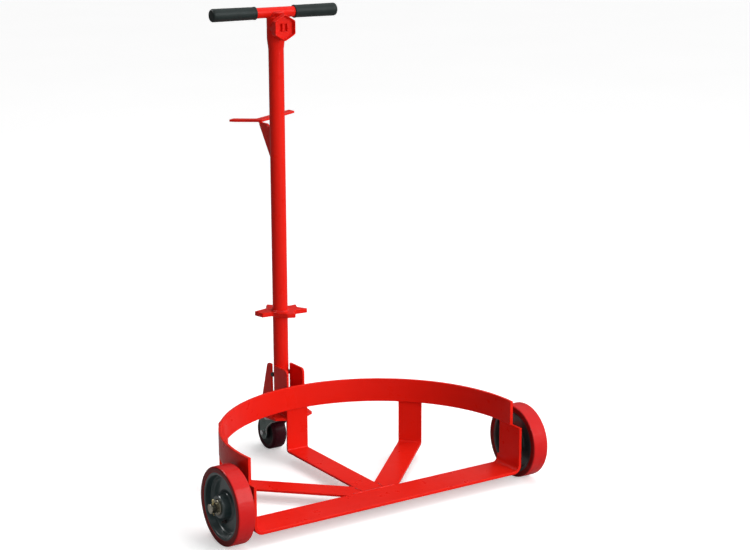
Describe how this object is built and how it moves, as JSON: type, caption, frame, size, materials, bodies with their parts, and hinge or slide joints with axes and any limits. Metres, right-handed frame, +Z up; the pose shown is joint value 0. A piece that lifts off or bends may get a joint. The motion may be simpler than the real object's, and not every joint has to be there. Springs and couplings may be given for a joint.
{
  "type": "drum dolly",
  "caption": "Open-ring drum dolly on load wheels and a rear swivel caster, with a lift-out T-bar post that carries bung and seal wrenches.",
  "frame": {"origin": "centre of the bounding box's footprint, on the floor", "axes": "+X along the load wheels' axle, left to right seen from the open front; +Y from the open front towards the caster and handle; +Z up"},
  "size_m": [0.77, 0.6382, 0.9744],
  "materials": {
    "frame_paint": "glossy red powder coat",
    "handle_paint": "glossy red powder coat",
    "zinc_steel": "bright zinc plate",
    "yellow_zinc": "yellow passivated zinc",
    "caster_zinc": "pressed sheet, grey zinc",
    "race_cap_steel": "dull pressed steel",
    "bearing_steel": "ground steel",
    "seal_steel": "lightly tarnished pressed steel",
    "tread_polyurethane": "semi-gloss moulded polyurethane",
    "hub_iron": "dark painted casting",
    "caster_rubber": "smooth dark rubber",
    "caster_core_plastic": "moulded",
    "grip_rubber": "soft moulded, shallow rings",
    "black_pin": "black oxide steel"
  },
  "bodies": {
    "frame": {"ring_band": "frame_paint", "crossbar_yoke": "frame_paint", "strap_centre": "frame_paint", "strap_left": "frame_paint", "strap_right": "frame_paint", "caster_mount_plate": "frame_paint", "cheek_left": "frame_paint", "cheek_right": "frame_paint", "handle_spigot": "frame_paint", "axle_left": "zinc_steel", "axle_right": "zinc_steel", "axle_collar_left": "frame_paint", "axle_collar_right": "frame_paint", "axle_washer_left": "zinc_steel", "axle_washer_right": "zinc_steel", "cotter_pin_left": "yellow_zinc", "cotter_pin_right": "yellow_zinc", "caster_top_plate": "caster_zinc", "caster_kingpin": "caster_zinc", "caster_bolts": "zinc_steel", "caster_bolt_nuts": "zinc_steel", "caster_bolt_washers": "zinc_steel"},
    "wheel_left": {"tread_left": "tread_polyurethane", "hub_left": "hub_iron", "bearing_left": "bearing_steel", "bearing_seal_left": "seal_steel", "grease_fitting_left": "zinc_steel"},
    "wheel_right": {"tread_right": "tread_polyurethane", "hub_right": "hub_iron", "bearing_right": "bearing_steel", "bearing_seal_right": "seal_steel", "grease_fitting_right": "zinc_steel"},
    "caster_swivel": {"caster_fork": "caster_zinc", "caster_race_cap": "race_cap_steel", "caster_axle_bolt": "zinc_steel", "caster_axle_nut": "zinc_steel", "caster_bushing": "bearing_steel"},
    "caster_wheel": {"caster_tyre": "caster_rubber", "caster_core": "caster_core_plastic"},
    "handle": {"handle_post": "handle_paint", "tbar_tube": "handle_paint", "grip_left": "grip_rubber", "grip_right": "grip_rubber", "cross_pin": "black_pin", "wrench_boss": "handle_paint", "hex_wrench_head": "handle_paint", "hook_plate": "handle_paint", "hook_gusset": "handle_paint", "seal_wrench_plate": "handle_paint"}
  },
  "joints": [
    {"name": "left_wheel_spin", "type": "hinge", "parent": "frame", "child": "wheel_left", "pos_m": [-0.34725, -0.2419, 0.0772], "axis": [1, 0, 0], "continuous": true},
    {"name": "right_wheel_spin", "type": "hinge", "parent": "frame", "child": "wheel_right", "pos_m": [0.34725, -0.2419, 0.0772], "axis": [1, 0, 0], "continuous": true},
    {"name": "caster_turn", "type": "hinge", "parent": "frame", "child": "caster_swivel", "pos_m": [0, 0.1701, 0.082], "axis": [0, 0, 1], "continuous": true},
    {"name": "caster_wheel_spin", "type": "hinge", "parent": "caster_swivel", "child": "caster_wheel", "pos_m": [0, 0.1971, 0.0385], "axis": [1, 0, 0], "continuous": true},
    {"name": "handle_lift", "type": "slide", "parent": "frame", "child": "handle", "axis": [0, 0, 1], "range_m": [0, 0.11]}
  ]
}
